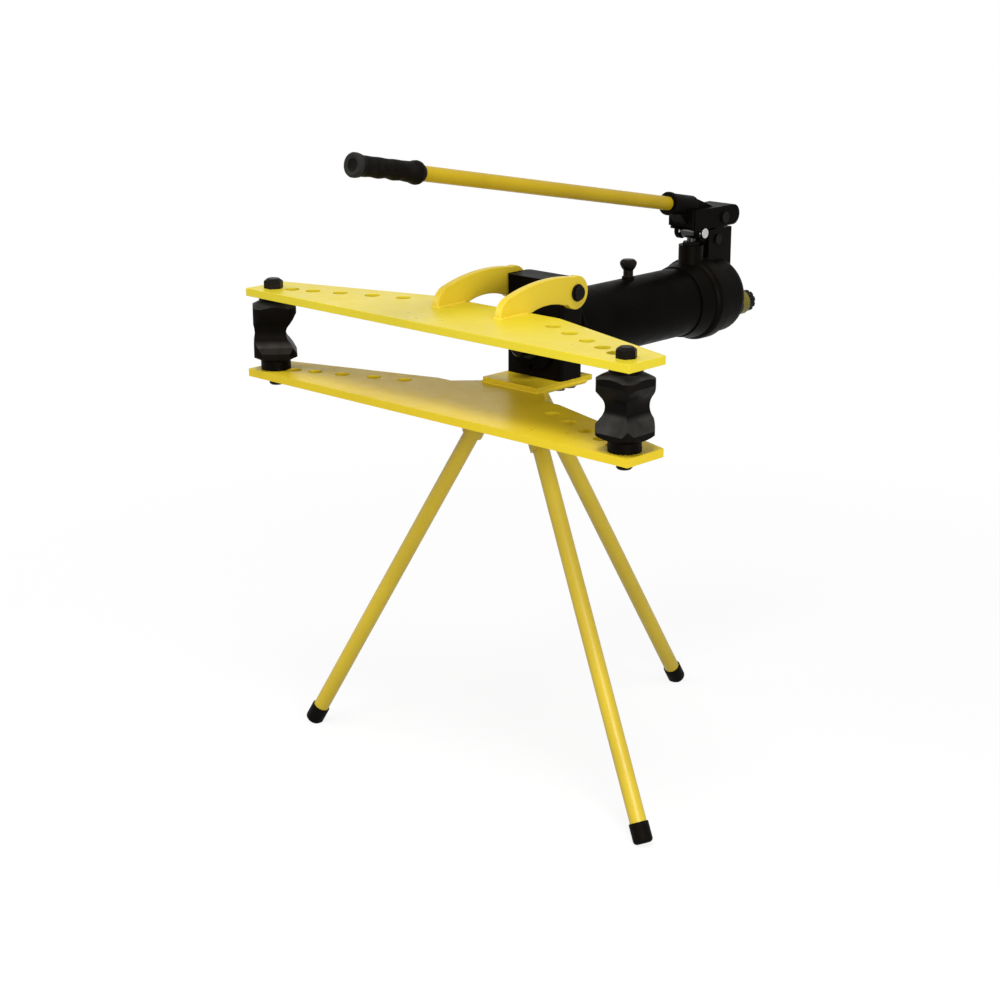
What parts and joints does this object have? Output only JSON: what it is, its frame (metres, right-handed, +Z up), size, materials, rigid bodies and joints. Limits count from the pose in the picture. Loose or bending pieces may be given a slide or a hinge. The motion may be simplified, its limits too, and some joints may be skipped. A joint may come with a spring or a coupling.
{
  "type": "hydraulic pipe bender",
  "caption": "Tripod-mounted hydraulic pipe bender: a hand-pumped ram pushes a former between two tapered wing plates that hold pinned, grooved rollers.",
  "frame": {"origin": "on the floor, below the middle of the object's length and width", "axes": "+Z up, X along the wings, -Y the way the ram pushes, +Y towards the pump and its release knob"},
  "size_m": [0.7725, 0.858, 0.9695],
  "materials": {
    "yellow_paint": "glossy enamel",
    "black_paint": "semi-gloss enamel on castings",
    "black_steel": "blackened, oiled steel",
    "cast_roller": "black enamel over cast iron",
    "bare_steel": "ground steel",
    "rubber": "matt moulded rubber"
  },
  "bodies": {
    "frame": {"lower_wing_plate": "yellow_paint", "upper_wing_plate": "yellow_paint", "saddle_plate": "yellow_paint", "hinge_arm_left": "yellow_paint", "hinge_arm_right": "yellow_paint", "hinge_pin": "black_steel", "hinge_pin_clips": "black_steel", "cylinder_block": "black_paint", "block_bolts": "black_steel", "gland_nut": "black_paint", "rod_wiper": "rubber", "tank_tube": "black_paint", "pressure_cylinder": "bare_steel", "return_spring": "bare_steel", "spring_anchor": "bare_steel", "pump_casting": "black_paint", "plunger_gland": "bare_steel", "fulcrum_pin": "black_steel", "post_pin": "bare_steel", "release_collar": "yellow_paint", "valve_ball": "bare_steel", "filler_boss": "black_paint", "leg_head": "yellow_paint", "leg_left": "yellow_paint", "leg_right": "yellow_paint", "leg_rear": "yellow_paint", "foot_left": "rubber", "foot_right": "rubber", "foot_rear": "rubber"},
    "ram": {"ram": "bare_steel", "piston": "bare_steel", "piston_seal": "rubber"},
    "lever": {"pump_lever": "black_paint", "handle_tube": "yellow_paint", "handle_grip": "rubber"},
    "plunger": {"pump_plunger": "bare_steel", "plunger_pin": "bare_steel"},
    "release_knob": {"release_knob": "black_steel"},
    "filler_cap": {"filler_cap": "black_steel"},
    "roller_left": {"roller_left": "cast_roller"},
    "roller_right": {"roller_right": "cast_roller"},
    "roller_pin_left": {"roller_pin_left": "black_steel"},
    "roller_pin_right": {"roller_pin_right": "black_steel"}
  },
  "joints": [
    {"name": "ram_slide", "type": "slide", "parent": "frame", "child": "ram", "axis": [0, -1, 0], "range_m": [0, 0.25], "stiffness_N_per_m": 800, "springref_m": -0.06, "deforming": ["return_spring"]},
    {"name": "lever_swing", "type": "hinge", "parent": "frame", "child": "lever", "pos_m": [0, 0.36729, 0.7955], "axis": [-1, 0, 0], "range_deg": [0, 30]},
    {"name": "plunger_slide", "type": "slide", "parent": "frame", "child": "plunger", "axis": [0, 0, 1], "range_m": [0, 0.03]},
    {"name": "release_knob_turn", "type": "hinge", "parent": "frame", "child": "release_knob", "pos_m": [0.03, 0.42, 0.651], "axis": [0, 1, 0], "range_deg": [0, 270]},
    {"name": "filler_cap_turn", "type": "hinge", "parent": "frame", "child": "filler_cap", "pos_m": [0, 0.15529, 0.73], "axis": [0, 0, 1], "range_deg": [0, 360]},
    {"name": "roller_left_spin", "type": "hinge", "parent": "frame", "child": "roller_left", "pos_m": [-0.35, -0.27071, 0.65], "axis": [0, 0, 1], "continuous": true},
    {"name": "roller_right_spin", "type": "hinge", "parent": "frame", "child": "roller_right", "pos_m": [0.35, -0.27071, 0.65], "axis": [0, 0, 1], "continuous": true},
    {"name": "roller_pin_left_lift", "type": "slide", "parent": "frame", "child": "roller_pin_left", "axis": [0, 0, 1], "range_m": [0, 0.155]},
    {"name": "roller_pin_right_lift", "type": "slide", "parent": "frame", "child": "roller_pin_right", "axis": [0, 0, 1], "range_m": [0, 0.155]}
  ],
  "couplings": [
    {"joint": "plunger_slide", "follows": "lever_swing", "m_per_rad": 0.056}
  ]
}
